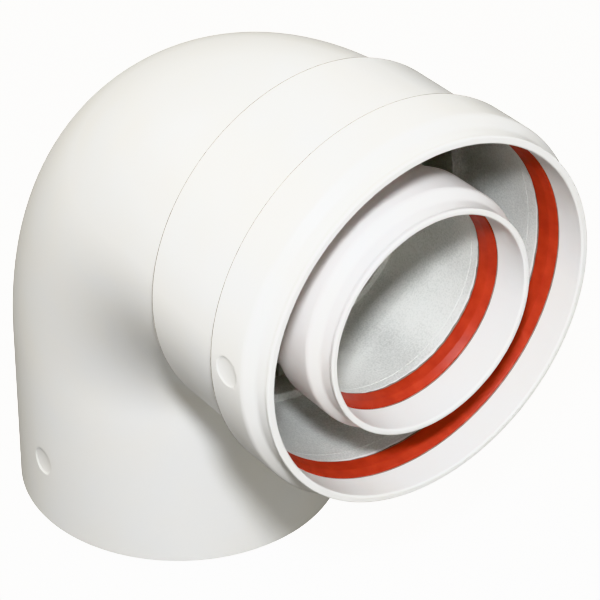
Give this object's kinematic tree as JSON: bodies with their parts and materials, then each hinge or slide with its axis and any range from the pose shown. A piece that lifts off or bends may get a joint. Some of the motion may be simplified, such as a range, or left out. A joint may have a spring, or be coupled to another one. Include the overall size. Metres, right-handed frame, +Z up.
{
  "type": "concentric flue elbow",
  "caption": "Right-angle concentric flue elbow: a flue gas duct held by spacer clips inside a white air duct, plain spigots at one end and sealed sockets at the other.",
  "frame": {"origin": "centre of the air spigot's end face, on the spigot's axis", "axes": "+Z up the spigot's axis into the bend, +X out of the sockets' mouth, +Y to the side"},
  "size_m": [0.1667, 0.1116, 0.1717],
  "materials": {
    "white_powder_coat": "white powder coat on aluminium, satin gloss",
    "bare_aluminium": "bare aluminium with a grey speckle",
    "silicone_rubber": "moulded orange-red silicone rubber, satin",
    "stainless_strip": "rolled stainless strip"
  },
  "bodies": {
    "root": {"air_bend": "white_powder_coat", "air_socket_sleeve": "white_powder_coat", "air_socket_collar": "white_powder_coat", "air_socket_seal": "silicone_rubber", "flue_bend": "bare_aluminium", "flue_socket_sleeve": "bare_aluminium", "flue_socket_collar": "white_powder_coat", "flue_socket_seal": "silicone_rubber", "socket_spacer_outer": "stainless_strip", "socket_spacer_left": "stainless_strip", "socket_spacer_right": "stainless_strip", "spigot_spacer_outer": "stainless_strip", "spigot_spacer_left": "stainless_strip", "spigot_spacer_right": "stainless_strip"}
  },
  "joints": []
}
